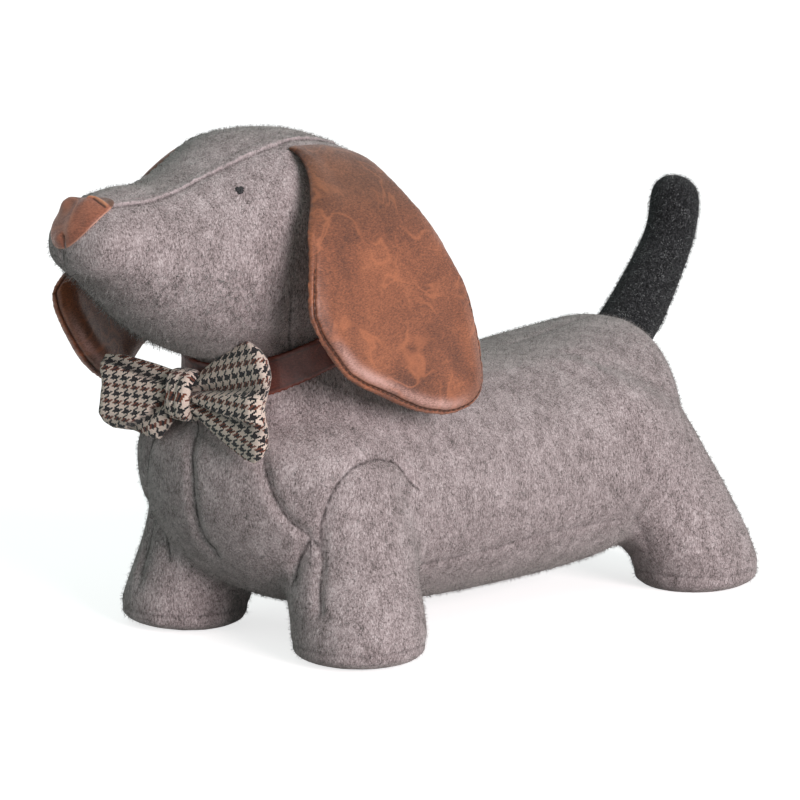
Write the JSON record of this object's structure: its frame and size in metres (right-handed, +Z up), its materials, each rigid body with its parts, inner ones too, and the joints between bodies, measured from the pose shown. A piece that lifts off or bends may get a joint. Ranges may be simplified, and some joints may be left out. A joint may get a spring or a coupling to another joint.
{
  "type": "weighted fabric door stop",
  "caption": "Weighted fabric door stop shaped as a long low dog, in grey felt with leather ears, nose and collar, a checked bow tie and a dark raised tail.",
  "frame": {"origin": "centre of the bounding box on the floor, under the four soles", "axes": "+X to the dog's left, -Y towards its nose, +Z up"},
  "size_m": [0.168, 0.3956, 0.2245],
  "materials": {
    "grey_felt": "brushed wool felt, mottled pinkish grey",
    "black_felt": "brushed wool felt, near black with pale flecks",
    "tan_leather": "distressed tan leather, half gloss",
    "brown_leather": "dark brown leather, half gloss",
    "checked_cloth": "woven houndstooth check in charcoal, cream and rust",
    "black_thread": "embroidery thread"
  },
  "bodies": {
    "root": {"stuffed_body": "grey_felt", "sole_front_left": "grey_felt", "sole_front_right": "grey_felt", "sole_rear_left": "grey_felt", "sole_rear_right": "grey_felt", "nose": "tan_leather", "eye_left": "black_thread", "eye_right": "black_thread", "ear_left": "tan_leather", "ear_right": "tan_leather", "collar": "brown_leather", "bow_wings": "checked_cloth", "bow_knot": "checked_cloth", "tail": "black_felt"}
  },
  "joints": []
}
